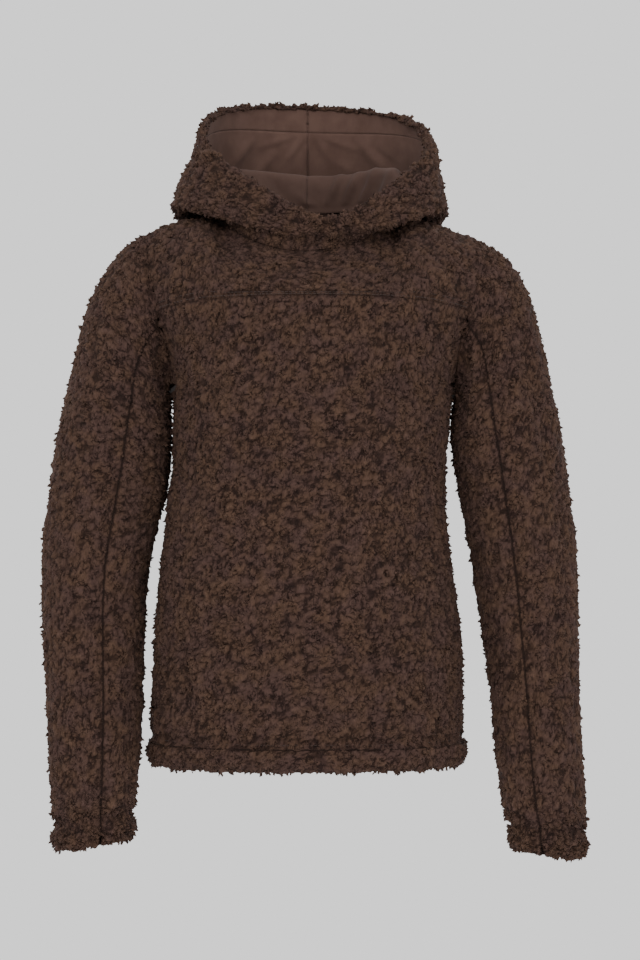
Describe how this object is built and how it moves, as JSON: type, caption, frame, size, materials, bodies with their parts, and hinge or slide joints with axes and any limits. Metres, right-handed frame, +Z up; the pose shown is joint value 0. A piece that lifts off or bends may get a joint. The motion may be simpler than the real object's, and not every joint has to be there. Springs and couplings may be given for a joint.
{
  "type": "sherpa fleece pullover",
  "caption": "Hooded sherpa fleece pullover, hollow as worn, with a chest seam, two-piece sleeves, turned hem and cuffs, and a jersey-lined hood lying back.",
  "frame": {"origin": "middle of the neck base, at the height where the shoulders carry the garment", "axes": "+Z up through the neck, -Y the way the chest faces, +X towards the wearer's left"},
  "size_m": [0.599, 0.2954, 0.8396],
  "materials": {
    "fleece": "curly sherpa pile, dark brown, matt",
    "lining": "plain jersey, brown, matt"
  },
  "bodies": {
    "root": {"front_body": "fleece", "front_yoke": "fleece", "back_body": "fleece", "left_top_sleeve": "fleece", "left_under_sleeve": "fleece", "right_top_sleeve": "fleece", "right_under_sleeve": "fleece", "left_hood": "fleece", "left_hood_lining": "lining", "left_hood_facing": "lining", "right_hood": "fleece", "right_hood_lining": "lining", "right_hood_facing": "lining"}
  },
  "joints": []
}
